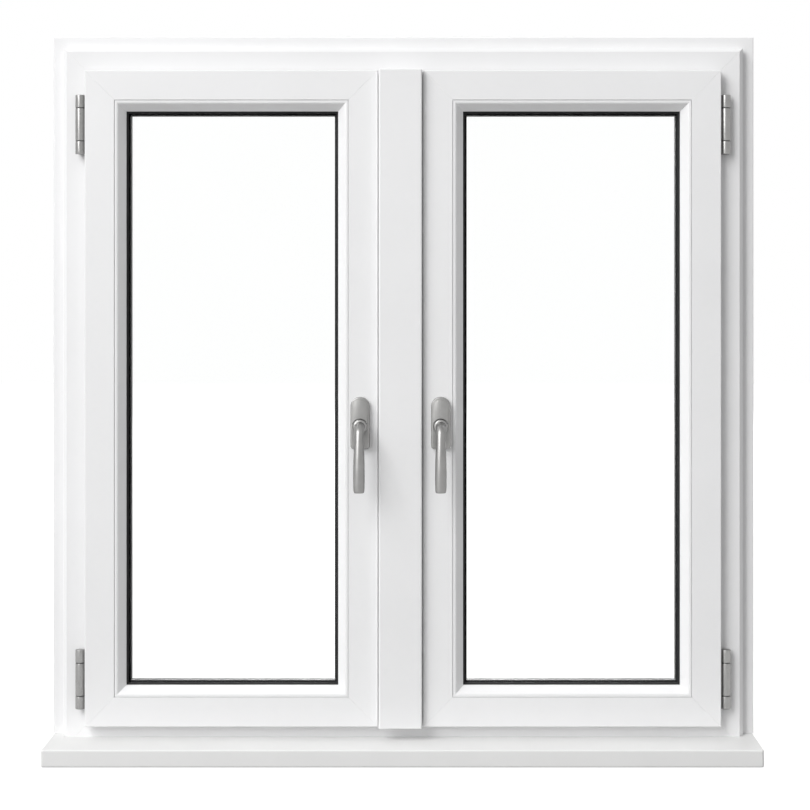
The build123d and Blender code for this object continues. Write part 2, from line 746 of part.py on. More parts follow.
def pane(area, front):
    """One sheet of glass."""
    with BuildPart() as sheet:
        with BuildSketch(Plane.XZ.offset(-front)):
            with Locations(area.centre()):
                Rectangle(*area.inset(GLASS_INSET).size())
        extrude(amount=-PANE)
    return sheet.part


def setting_block(area, offset):
    """Block between the bottom rail and the glass unit."""
    height = GLASS_INSET - FACE_WIDTH
    depth = (INNER_PANE + GLASS_BACK) / 2
    with BuildPart() as block:
        with Locations((area.centre()[0] + offset, depth, area.bottom + FACE_WIDTH + height / 2)):
            Box(BLOCK_LENGTH, BLOCK_DEPTH, height)
    return block.part


# Handles
def cover_outline(margin=0.0):
    """Handle plate outline about its axis: a half-round top and a nearly flat bottom."""
    half = COVER_WIDTH / 2 - margin
    top = COVER_TOP - margin
    bottom = COVER_BOTTOM - margin
    with BuildSketch() as outline:
        with BuildLine():
            Polyline((-half, top - half), (-half, -bottom), (half, -bottom), (half, top - half))
            ThreePointArc((half, top - half), (0, top), (-half, top - half))
        make_face()
        fillet(outline.vertices().group_by(Axis.Y)[0], COVER_CORNER)
    return outline.sketch


def handle_plane(hand, depth):
    """Upright plane through the handle's axis, facing the room."""
    return Plane((handle_x(hand), depth, PIVOT_Z), x_dir=(1, 0, 0), z_dir=(0, -1, 0))


def handle_cover(hand):
    """Moulded cover: a rounded plate with a raised hood that ends in an arc round the lever's collar."""
    with BuildPart() as cover:
        with BuildSketch(handle_plane(hand, SASH_FRONT)):
            add(cover_outline())
        extrude(amount=COVER_HEIGHT)
        chamfer(cover.faces().sort_by(Axis.Y)[0].edges(), COVER_CHAMFER)
        with BuildSketch(handle_plane(hand, SASH_FRONT - COVER_HEIGHT)):
            with BuildLine():
                half = HOOD_WIDTH / 2
                Polyline((-half, HOOD_TOP - half), (-half, 0), (half, 0), (half, HOOD_TOP - half))
                ThreePointArc((half, HOOD_TOP - half), (0, HOOD_TOP), (-half, HOOD_TOP - half))
            make_face()
            Circle(COLLAR_RADIUS + HOOD_ARC_GAP, mode=Mode.SUBTRACT)
        extrude(amount=HOOD_HEIGHT)
        chamfer(cover.faces().sort_by(Axis.Y)[0].edges(), HOOD_CHAMFER)
        with BuildSketch(handle_plane(hand, SASH_FRONT)):
            add(cover_outline(COVER_WALL))
        extrude(amount=COVER_HEIGHT - COVER_WALL, mode=Mode.SUBTRACT)
        with BuildSketch(handle_plane(hand, SASH_FRONT)):
            Circle(COLLAR_RADIUS + COLLAR_PLAY)
        extrude(amount=COVER_HEIGHT + HOOD_HEIGHT, mode=Mode.SUBTRACT)
    return cover.part


def handle_base(hand):
    """Detent plate screwed to the stile under the cover."""
    with BuildPart() as base:
        with BuildSketch(handle_plane(hand, SASH_FRONT)):
            add(cover_outline(COVER_WALL + BASE_PLAY))
            Circle(SPINDLE_TUNNEL, mode=Mode.SUBTRACT)
            with GridLocations(1, SCREW_SPACING, 1, 2):
                Circle(SCREW_RADIUS + CASE_PLAY, mode=Mode.SUBTRACT)
        extrude(amount=BASE_THICKNESS)
        head_depth = SCREW_HEAD_RADIUS - SCREW_RADIUS
        with BuildSketch(handle_plane(hand, SASH_FRONT - BASE_THICKNESS + head_depth)):
            with GridLocations(1, SCREW_SPACING, 1, 2):
                Circle(SCREW_HEAD_RADIUS + CASE_PLAY)
        extrude(amount=head_depth, mode=Mode.SUBTRACT)
    return base.part


def handle_screw(hand, step):
    """Countersunk screw from the detent plate into the lock case."""
    head_depth = SCREW_HEAD_RADIUS - SCREW_RADIUS
    head_front = SASH_FRONT - BASE_THICKNESS
    axis = Axis((handle_x(hand), 0, PIVOT_Z + step), (0, 1, 0))
    with BuildPart() as screw:
        with BuildSketch(Plane((handle_x(hand), 0, PIVOT_Z + step))):
            with BuildLine():
                Polyline(
                    (0, head_front),
                    (SCREW_HEAD_RADIUS, head_front),
                    (SCREW_RADIUS, head_front + head_depth),
                    (SCREW_RADIUS, GROOVE_FRONT + CASE_WALL),
                    (0, GROOVE_FRONT + CASE_WALL),
                    close=True,
                )
            make_face()
        revolve(axis=axis)
    return screw.part


SPINDLE_FRONT = SASH_FRONT - COVER_HEIGHT - HOOD_HEIGHT / 2


def handle_lever(hand):
    """Lever: a conical collar, a bent neck and a round grip that swells, then narrows to a blunt end."""
    collar_back = SASH_FRONT - BASE_THICKNESS - BASE_PLAY
    collar_front = SASH_FRONT - COVER_HEIGHT - HOOD_HEIGHT
    bend_start = SASH_FRONT - GRIP_OFFSET + ELBOW_RADIUS
    grip_depth = SASH_FRONT - GRIP_OFFSET
    x = handle_x(hand)
    with BuildPart() as lever:
        with BuildSketch(Plane((x, 0, PIVOT_Z))):
            with BuildLine():
                Polyline(
                    (0, collar_back),
                    (COLLAR_RADIUS, collar_back),
                    (COLLAR_RADIUS, collar_front),
                    (NECK_RADIUS, collar_front - HOOD_HEIGHT),
                    (NECK_RADIUS, bend_start),
                    (0, bend_start),
                    close=True,
                )
            make_face()
        revolve(axis=Axis((x, 0, PIVOT_Z), (0, 1, 0)))
        with BuildSketch(handle_plane(hand, bend_start)):
            Circle(NECK_RADIUS)
        revolve(axis=Axis((x, bend_start, PIVOT_Z - ELBOW_RADIUS), (1, 0, 0)), revolution_arc=90)
        with BuildSketch(handle_plane(hand, grip_depth)):
            with BuildLine():
                Polyline((GRIP_RADIUS, -GRIP_SWELL), (NECK_RADIUS, -ELBOW_RADIUS), (0, -ELBOW_RADIUS))
                Polyline((0, -ELBOW_RADIUS), (0, -LEVER_DROP), (END_RADIUS - END_ROUND, -LEVER_DROP))
                end_round = RadiusArc(
                    (END_RADIUS - END_ROUND, -LEVER_DROP), (END_RADIUS, END_ROUND - LEVER_DROP), -END_ROUND
                )
                middle = ((GRIP_RADIUS + END_RADIUS) / 2 + GRIP_BULGE, -(GRIP_SWELL + LEVER_DROP) / 2)
                ThreePointArc(end_round @ 1, middle, (GRIP_RADIUS, -GRIP_SWELL))
            make_face()
        revolve(axis=Axis((x, grip_depth, PIVOT_Z), (0, 0, 1)))
        with BuildSketch(handle_plane(hand, collar_back)):
            Rectangle(SPINDLE + SPINDLE_PLAY, SPINDLE + SPINDLE_PLAY)
        extrude(amount=collar_back - SPINDLE_FRONT + SPINDLE_PLAY, mode=Mode.SUBTRACT)
    return lever.part


def handle_spindle(hand):
    """Square spindle from the lever's collar through the pinion."""
    with BuildPart() as spindle:
        with BuildSketch(handle_plane(hand, SPINDLE_FRONT)):
            Rectangle(SPINDLE, SPINDLE)
        extrude(amount=SPINDLE_FRONT - GROOVE_BACK + CASE_WALL)
        chamfer(spindle.edges().group_by(Axis.Y)[-1], 2 * MITRE_GROOVE)
    return spindle.part


# Lock gear
RACK_SIDE = {"left": 1, "right": -1}


def involute(angle):
    """Involute function of a pressure angle."""
    return tan(angle) - angle


def tooth_point(radius, flank):
    """Point on one flank of a pinion tooth that is centred on the X axis."""
    base_radius = PITCH_RADIUS * cos(PRESSURE_ANGLE)
    half_angle = pi / (2 * PINION_TEETH) - BACKLASH / (4 * PITCH_RADIUS) + involute(PRESSURE_ANGLE)
    if radius > base_radius:
        half_angle -= involute(acos(base_radius / radius))
    return (radius * cos(half_angle), flank * radius * sin(half_angle))


def pinion_section():
    """Toothed wheel with a square hole."""
    root = PITCH_RADIUS - RACK_ADDENDUM - TOOTH_CLEARANCE
    tip = PITCH_RADIUS + PINION_ADDENDUM
    with BuildSketch() as tooth:
        with BuildLine():
            ThreePointArc(*[tooth_point(radius, -1) for radius in (root, PITCH_RADIUS, tip)])
            Line(tooth_point(tip, -1), tooth_point(tip, 1))
            ThreePointArc(*[tooth_point(radius, 1) for radius in (tip, PITCH_RADIUS, root)])
            Polyline(tooth_point(root, 1), (root / 2, 0), tooth_point(root, -1))
        make_face()
    with BuildSketch() as section:
        Circle(root)
        with PolarLocations(0, PINION_TEETH):
            add(tooth.sketch)
    return section.sketch


def lock_pinion(hand):
    """Pinion with a hub at each side, turning in the case."""
    with BuildPart() as pinion:
        with BuildSketch(handle_plane(hand, GROOVE_Y - PINION_WIDTH / 2)):
            add(pinion_section())
        extrude(amount=-PINION_WIDTH)
        with Locations(Plane((handle_x(hand), GROOVE_Y, PIVOT_Z), z_dir=(0, -1, 0))):
            Cylinder(HUB_RADIUS, GROOVE_WIDTH - 2 * CASE_PLAY)
            Box(SPINDLE + SPINDLE_PLAY, SPINDLE + SPINDLE_PLAY, 2 * GROOVE_WIDTH, mode=Mode.SUBTRACT)
    return pinion.part


def lock_case(hand):
    """U-shaped case that carries the pinion's hubs and takes the handle screws."""
    inner_reach = CASE_REACH - CASE_WALL - LIP_WIDTH - CASE_PLAY
    outer_reach = CASE_REACH - LIP_WIDTH - CASE_PLAY
    outer_depth = GROOVE_WIDTH - 2 * CASE_PLAY
    inner_depth = outer_depth - 2 * CASE_WALL
    start = LIP_WIDTH + CASE_PLAY
    edge, sign = lock_edge(hand), inward_sign(hand)
    with BuildPart() as case:
        with Locations((edge + sign * (start + outer_reach / 2), GROOVE_Y, PIVOT_Z)):
            Box(outer_reach, outer_depth, 2 * CASE_HALF)
        with Locations((edge + sign * (start + inner_reach / 2), GROOVE_Y, PIVOT_Z)):
            Box(inner_reach, inner_depth, 2 * CASE_HALF, mode=Mode.SUBTRACT)
        with BuildSketch(handle_plane(hand, GROOVE_FRONT)):
            Circle(HUB_RADIUS + HUB_PLAY)
        extrude(amount=-GROOVE_WIDTH, mode=Mode.SUBTRACT)
        with BuildSketch(handle_plane(hand, GROOVE_FRONT)):
            with GridLocations(1, SCREW_SPACING, 1, 2):
                Circle(SCREW_RADIUS)
        extrude(amount=-GROOVE_WIDTH / 2, mode=Mode.SUBTRACT)
    return case.part


def drive_bar(hand):
    """Flat bar in the stile's groove with rack teeth beside the pinion."""
    pitch = pi * GEAR_MODULE
    side = RACK_SIDE[hand]
    root = PITCH_RADIUS + PINION_ADDENDUM + TOOTH_CLEARANCE
    back = root + BAR_THICKNESS
    tip_half = pitch / 4 - BACKLASH / 4 - RACK_ADDENDUM * tan(PRESSURE_ANGLE)
    root_half = tip_half + (root - PITCH_RADIUS + RACK_ADDENDUM) * tan(PRESSURE_ANGLE)
    tip = PITCH_RADIUS - RACK_ADDENDUM
    area = SASH_AREAS[hand]
    low = area.bottom + BAR_END_GAP - PIVOT_Z
    high = area.top - BAR_END_GAP - PIVOT_Z
    with BuildPart() as bar:
        with BuildSketch(handle_plane(hand, GROOVE_Y - BAR_WIDTH / 2)):
            with Locations((side * (root + back) / 2, (low + high) / 2)):
                Rectangle(back - root, high - low)
            for tooth in range(RACK_TEETH):
                middle = (tooth - (RACK_TEETH - 1) / 2) * pitch
                with BuildLine():
                    Polyline(
                        (side * root, middle - root_half),
                        (side * tip, middle - tip_half),
                        (side * tip, middle + tip_half),
                        (side * root, middle + root_half),
                        close=True,
                    )
                make_face()
        extrude(amount=-BAR_WIDTH)
    return bar.part


def lock_cams(hand):
    """Mushroom cams riveted on the bar, reaching towards the keeps."""
    back = PITCH_RADIUS + PINION_ADDENDUM + TOOTH_CLEARANCE + BAR_THICKNESS
    bar_face = handle_x(hand) + RACK_SIDE[hand] * back
    outward = (RACK_SIDE[hand], 0, 0)
    cams = []
    for height in CAM_HEIGHTS:
        rivet_plane = Plane((bar_face, GROOVE_Y, height), z_dir=outward)
        with BuildPart() as cam:
            with BuildSketch(rivet_plane):
                Circle(CAM_SHANK_RADIUS)
            extrude(amount=CAM_REACH)
            with BuildSketch(rivet_plane.offset(CAM_REACH / 2)):
                Circle(CAM_RADIUS)
            extrude(amount=CAM_REACH / 2)
        cams.append(cam.part)
    return group(cams)


def lock_keep(sign, height):
    """Keep on the mullion's side: a plate with a low lip on the room side of the cam."""
    face = MULLION_X + sign * MULLION_NOSE
    with BuildPart() as keep:
        with Locations((face + sign * KEEP_THICKNESS / 2, GROOVE_Y, height)):
            Box(KEEP_THICKNESS, GROOVE_WIDTH, KEEP_LENGTH)
        with Locations((face + sign * KEEP_LIP / 2, GROOVE_FRONT - KEEP_THICKNESS, height)):
            Box(KEEP_LIP, 2 * KEEP_THICKNESS, KEEP_LENGTH)
        chamfer(keep.edges().filter_by(Axis.Z).sort_by(Axis.X)[-1 if sign > 0 else 0], 2 * MITRE_GROOVE)
    return keep.part


save(group(lock_keep(sign, height) for sign in (-1, 1) for height in CAM_HEIGHTS), "lock_keeps")

# Both leaves with their handles and locks
for hand, area in SASH_AREAS.items():
    hinge_side = hand
    lock_side = "right" if hand == "left" else "left"
    save(hinge_stile(hand, hinge_side), f"{hand}_hinge_stile")
    save(lock_stile(hand, lock_side), f"{hand}_lock_stile")
    save(sash_rail(hand, "top"), f"{hand}_top_rail")
    save(sash_rail(hand, "bottom"), f"{hand}_bottom_rail")
    save(group(sash_steel(hand, side) for side in SIDES), f"{hand}_sash_reinforcements")
    save(group(mitred_bar(area, side, bead_section()) for side in SIDES), f"{hand}_glazing_beads")
    save(group([pane(area, INNER_PANE), pane(area, OUTER_PANE)]), f"{hand}_glass_panes")
    spacer = ring(area, GLASS_INSET + SPACER_PLAY, SPACER_INSET, CAVITY_FRONT, OUTER_PANE)
    save(spacer, f"{hand}_glass_spacer")
    seal_outer, seal_inner = SIGHT_LINE - GASKET_BURIED, SIGHT_LINE + GASKET_SHOW
    save(
        group(
            [
                ring(area, seal_outer, seal_inner, BEAD_BACK, INNER_PANE),
                ring(area, seal_outer, SIGHT_LINE, GLASS_BACK, LEG_FRONT),
            ]
        ),
        f"{hand}_glazing_gaskets",
    )
    save(group(setting_block(area, step * BLOCK_SPACING / 2) for step in (-1, 1)), f"{hand}_setting_blocks")
    save(
        ring(area, LIP_SEAL_INSET, LIP_SEAL_INSET + SEAL_WIDTH, LIP_BACK, FRAME_FRONT - SEAL_PLAY),
        f"{hand}_sash_gasket",
    )
    leaf_knuckles = [middle_knuckle(inward_sign(hand), height) for height in HINGE_HEIGHTS]
    save(group(leaf_knuckles), f"{hand}_hinge_knuckles")
    save(handle_base(hand), f"{hand}_handle_base")
    save(handle_cover(hand), f"{hand}_handle_cover")
    screws = [handle_screw(hand, step) for step in (-SCREW_SPACING / 2, SCREW_SPACING / 2)]
    save(group(screws), f"{hand}_handle_screws")
    save(handle_lever(hand), f"{hand}_handle_lever")
    save(handle_spindle(hand), f"{hand}_handle_spindle")
    save(lock_pinion(hand), f"{hand}_lock_pinion")
    save(lock_case(hand), f"{hand}_lock_case")
    save(drive_bar(hand), f"{hand}_drive_bar")
    save(lock_cams(hand), f"{hand}_lock_cams")
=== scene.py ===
"""Looks of a two-leaf casement window: finishes, smooth metal fittings, studio light and camera.

The room is on the side of negative Y, X runs to the right as seen from the room, and Z is up.
Sizes are in metres.
"""

import logging
import math
from collections.abc import Callable
from dataclasses import dataclass, field
from enum import Enum

import bpy
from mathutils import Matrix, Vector

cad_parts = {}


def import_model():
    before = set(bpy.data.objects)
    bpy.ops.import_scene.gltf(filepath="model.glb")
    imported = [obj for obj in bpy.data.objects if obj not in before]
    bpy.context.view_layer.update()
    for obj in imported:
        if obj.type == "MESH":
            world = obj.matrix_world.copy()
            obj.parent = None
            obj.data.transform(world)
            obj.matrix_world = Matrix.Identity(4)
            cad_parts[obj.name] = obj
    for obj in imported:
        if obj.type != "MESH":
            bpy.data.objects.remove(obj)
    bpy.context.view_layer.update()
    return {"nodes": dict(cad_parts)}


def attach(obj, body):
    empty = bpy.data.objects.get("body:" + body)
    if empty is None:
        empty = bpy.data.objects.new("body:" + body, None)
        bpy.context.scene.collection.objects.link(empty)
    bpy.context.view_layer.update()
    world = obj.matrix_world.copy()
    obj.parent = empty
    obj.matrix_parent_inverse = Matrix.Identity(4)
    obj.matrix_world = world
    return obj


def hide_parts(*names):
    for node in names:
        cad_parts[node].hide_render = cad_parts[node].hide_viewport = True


LOG = logging.getLogger("casement_window")

Colour = tuple[float, float, float]
Point = tuple[float, float, float]
Span = tuple[float, float]
EdgeTest = Callable[[Vector, Vector], bool]
Socket = bpy.types.NodeSocket
Piece = bpy.types.Object

QUARTER_TURN = math.pi / 2
WHITE = (1.0, 1.0, 1.0, 1.0)
# Light path factors are 0 or 1, while noise factors keep mostly to the middle.
FULL_SPAN: Span = (0.0, 1.0)
NOISE_SPAN: Span = (0.3, 0.7)
# An edge that spans less than SHORT in a direction doesn't run in it.
SHORT = 0.001
# A point within NEAR of a level lies on it.
NEAR = 0.0005


class Hand(Enum):
    """Which leaf of the window a piece belongs to, as seen from the room."""

    LEFT = "left"
    RIGHT = "right"

    @property
    def side(self) -> int:
        """Sign of X on the leaf's own side of the window."""
        return -1 if self is Hand.LEFT else 1


class Grain(Enum):
    """Scale of a surface pattern along X, Y and Z, small where a brushed surface is drawn out."""

    EVEN = (1.0, 1.0, 1.0)
    UPRIGHT = (1.0, 1.0, 0.04)


class Carve(Enum):
    """What is left of a piece after another is set into it."""

    TAKE_OUT = "DIFFERENCE"
    KEEP_INSIDE = "INTERSECT"


class RodAxis(Enum):
    """Turn that lays a round rod along one direction."""

    UPRIGHT = (0.0, 0.0, 0.0)
    DEPTH = (QUARTER_TURN, 0.0, 0.0)
    ACROSS = (0.0, QUARTER_TURN, 0.0)


@dataclass
class NodeTree:
    """Small helper that adds and joins shader nodes in one material or world."""

    owner: bpy.types.Material | bpy.types.World

    def __post_init__(self) -> None:
        """Clear the tree and start with an output node."""
        self.owner.use_nodes = True
        self.tree = self.owner.node_tree
        self.tree.nodes.clear()
        kind = "World" if isinstance(self.owner, bpy.types.World) else "Material"
        self.output = self.add(f"ShaderNodeOutput{kind}")

    def add(self, kind: str, **sockets: object) -> bpy.types.Node:
        """Add a node and set its input sockets by name.

        Args:
            kind: Blender's type name of the node.
            sockets: Input values, with spaces in socket names written as underscores.

        Returns:
            The new node.
        """
        node = self.tree.nodes.new(kind)
        for name, value in sockets.items():
            node.inputs[name.replace("_", " ")].default_value = value
        return node

    def join(self, source: Socket, target: Socket) -> None:
        """Link two sockets."""
        self.tree.links.new(source, target)

    def coordinates(self, grain: Grain = Grain.EVEN) -> Socket:
        """Give object coordinates, scaled by the grain.

        Args:
            grain: Direction in which the pattern is drawn out.

        Returns:
            The vector's socket.
        """
        place = self.add("ShaderNodeTexCoord")
        mapping = self.add("ShaderNodeMapping", Scale=grain.value)
        self.join(place.outputs["Object"], mapping.inputs["Vector"])
        return mapping.outputs["Vector"]

    def noise(self, vector: Socket, scale: float, detail: float = 3.0) -> Socket:
        """Give a noise factor.

        Args:
            vector: Coordinates that the noise is laid over.
            scale: Number of patches in a metre.
            detail: Octaves of finer noise.

        Returns:
            The factor's socket.
        """
        texture = self.add("ShaderNodeTexNoise", Scale=scale, Detail=detail)
        self.join(vector, texture.inputs["Vector"])
        return texture.outputs["Fac"]

    def spread(self, factor: Socket, low: float, high: float, source: Span = NOISE_SPAN) -> Socket:
        """Map a factor to a range of values.

        Args:
            factor: Factor to map.
            low: Value at the start of the source span.
            high: Value at its end.
            source: Part of the factor that is spread out.

        Returns:
            The value's socket.
        """
        start, end = source
        span = self.add("ShaderNodeMapRange", From_Min=start, From_Max=end, To_Min=low, To_Max=high)
        self.join(factor, span.inputs["Value"])
        return span.outputs["Result"]

    def tint(self, factor: Socket, first: Colour, second: Colour) -> Socket:
        """Mix two colours by a noise factor.

        Args:
            factor: Noise factor.
            first: Colour where the factor is low.
            second: Colour where it is high.

        Returns:
            The colour's socket.
        """
        ramp = self.add("ShaderNodeValToRGB")
        stops = ramp.color_ramp.elements
        for stop, position, colour in zip(stops, NOISE_SPAN, (first, second)):
            stop.position = position
            stop.color = (*colour, 1.0)
        self.join(factor, ramp.inputs["Fac"])
        return ramp.outputs["Color"]

    def relief(self, height: Socket, depth: float, strength: float) -> Socket:
        """Give a bumped normal.

        Args:
            height: Height factor.
            depth: Height in metres that a factor of 1 stands for.
            strength: Share of the bump that shows.

        Returns:
            The normal's socket.
        """
        bump = self.add("ShaderNodeBump", Strength=strength, Distance=depth)
        self.join(height, bump.inputs["Height"])
        return bump.outputs["Normal"]

    def background_rays(self) -> Socket:
        """Give 1 for rays that show the surroundings and 0 for rays that light the object.

        Returns:
            The factor's socket.
        """
        rays = self.add("ShaderNodeLightPath")
        total = rays.outputs["Is Camera Ray"]
        for name in ("Is Glossy Ray", "Is Transmission Ray"):
            most = self.add("ShaderNodeMath")
            most.operation = "MAXIMUM"
            self.join(total, most.inputs[0])
            self.join(rays.outputs[name], most.inputs[1])
            total = most.outputs[0]
        return total

    def surface(self, shader: bpy.types.Node) -> None:
        """Send a shader to the output."""
        self.join(shader.outputs[0], self.output.inputs["Surface"])


@dataclass(frozen=True)
class SolidFinish:
    """Opaque finish with gentle changes of colour, gloss and grain over the surface."""

    name: str
    light: Colour
    dark: Colour
    rough_low: float
    rough_high: float
    metallic: float = 0.0
    specular: float = 0.5
    grain: Grain = Grain.EVEN
    patch_scale: float = 6.0
    grain_scale: float = 900.0
    grain_depth: float = 0.00002
    grain_strength: float = 0.15
    coat: float = 0.0

    def make(self) -> bpy.types.Material:
        """Build the material.

        Returns:
            A node material that reads object coordinates only.
        """
        material = bpy.data.materials.new(self.name)
        nodes = NodeTree(material)
        patches = nodes.noise(nodes.coordinates(), self.patch_scale)
        fine = nodes.noise(nodes.coordinates(self.grain), self.grain_scale)
        shader = nodes.add(
            "ShaderNodeBsdfPrincipled",
            Metallic=self.metallic,
            Specular_IOR_Level=self.specular,
            Coat_Weight=self.coat,
            Coat_Roughness=self.rough_low,
        )
        nodes.join(nodes.tint(patches, self.dark, self.light), shader.inputs["Base Color"])
        nodes.join(nodes.spread(fine, self.rough_low, self.rough_high), shader.inputs["Roughness"])
        nodes.join(nodes.relief(fine, self.grain_depth, self.grain_strength), shader.inputs["Normal"])
        nodes.surface(shader)
        return material


@dataclass(frozen=True)
class NickelFinish(SolidFinish):
    """Nickel-plated metal with fine upright brush marks."""

    metallic: float = 1.0
    grain: Grain = Grain.UPRIGHT
    patch_scale: float = 60.0
    grain_scale: float = 1600.0
    grain_strength: float = 0.1


@dataclass(frozen=True)
class SealFinish(SolidFinish):
    """Dark, matt and nearly smooth finish at the edge of the glass."""

    specular: float = 0.1
    grain_strength: float = 0.03


@dataclass(frozen=True)
class GlassFinish:
    """Clear float glass with the faintest green cast, which drifts over the sheet.

    The index of refraction is lower than real glass has, so that the white surroundings, mirrored
    in four faces, don't veil the dark seals behind the panes.
    """

    name: str = "clear_float_glass"
    first: Colour = (0.994, 0.998, 0.996)
    second: Colour = (0.998, 1.0, 0.999)
    ior: float = 1.15
    wave_scale: float = 4.0

    def make(self) -> bpy.types.Material:
        """Build the material.

        Returns:
            A transmissive node material.
        """
        material = bpy.data.materials.new(self.name)
        nodes = NodeTree(material)
        waves = nodes.noise(nodes.coordinates(), self.wave_scale)
        shader = nodes.add(
            "ShaderNodeBsdfPrincipled", Roughness=0.0, IOR=self.ior, Transmission_Weight=1.0
        )
        nodes.join(nodes.tint(waves, self.first, self.second), shader.inputs["Base Color"])
        nodes.surface(shader)
        return material


class Finish(Enum):
    """Every finish on the window."""

    PROFILE = SolidFinish(
        "white_profile", (0.84, 0.84, 0.845), (0.815, 0.815, 0.82), 0.30, 0.40, coat=0.1
    )
    BOARD = SolidFinish(
        "white_window_board",
        (0.80, 0.80, 0.795),
        (0.775, 0.775, 0.77),
        0.38,
        0.5,
        patch_scale=9.0,
        grain_scale=500.0,
    )
    SATIN = NickelFinish(
        "satin_nickel", (0.315, 0.313, 0.308), (0.275, 0.273, 0.268), 0.40, 0.48, grain_strength=0.2
    )
    CAST = NickelFinish("cast_nickel", (0.295, 0.293, 0.289), (0.258, 0.256, 0.252), 0.34, 0.40)
    BRIGHT = NickelFinish("bright_nickel", (0.315, 0.313, 0.309), (0.280, 0.278, 0.274), 0.26, 0.32)
    ZINC = SolidFinish(
        "zinc_steel", (0.62, 0.62, 0.61), (0.48, 0.49, 0.49), 0.3, 0.5, metallic=1.0, patch_scale=90.0
    )
    SPACER = SealFinish("grey_spacer", (0.048, 0.048, 0.049), (0.040, 0.040, 0.041), 0.5, 0.65)
    RUBBER = SealFinish("black_seal", (0.040, 0.040, 0.041), (0.032, 0.032, 0.033), 0.55, 0.7)
    NYLON = SolidFinish(
        "dark_nylon", (0.06, 0.06, 0.062), (0.035, 0.035, 0.037), 0.4, 0.55, grain_scale=1200.0
    )
    GLASS = GlassFinish()


@dataclass
class PaintShop:
    """Makes each finish once and puts it on pieces."""

    made: dict[Finish, bpy.types.Material] = field(default_factory=dict)

    def dress(self, piece: Piece, finish: Finish) -> None:
        """Put one finish on the whole of a piece.

        Args:
            piece: Piece to dress.
            finish: Finish that it gets.
        """
        if finish not in self.made:
            self.made[finish] = finish.value.make()
        piece.data.materials.clear()
        piece.data.materials.append(self.made[finish])


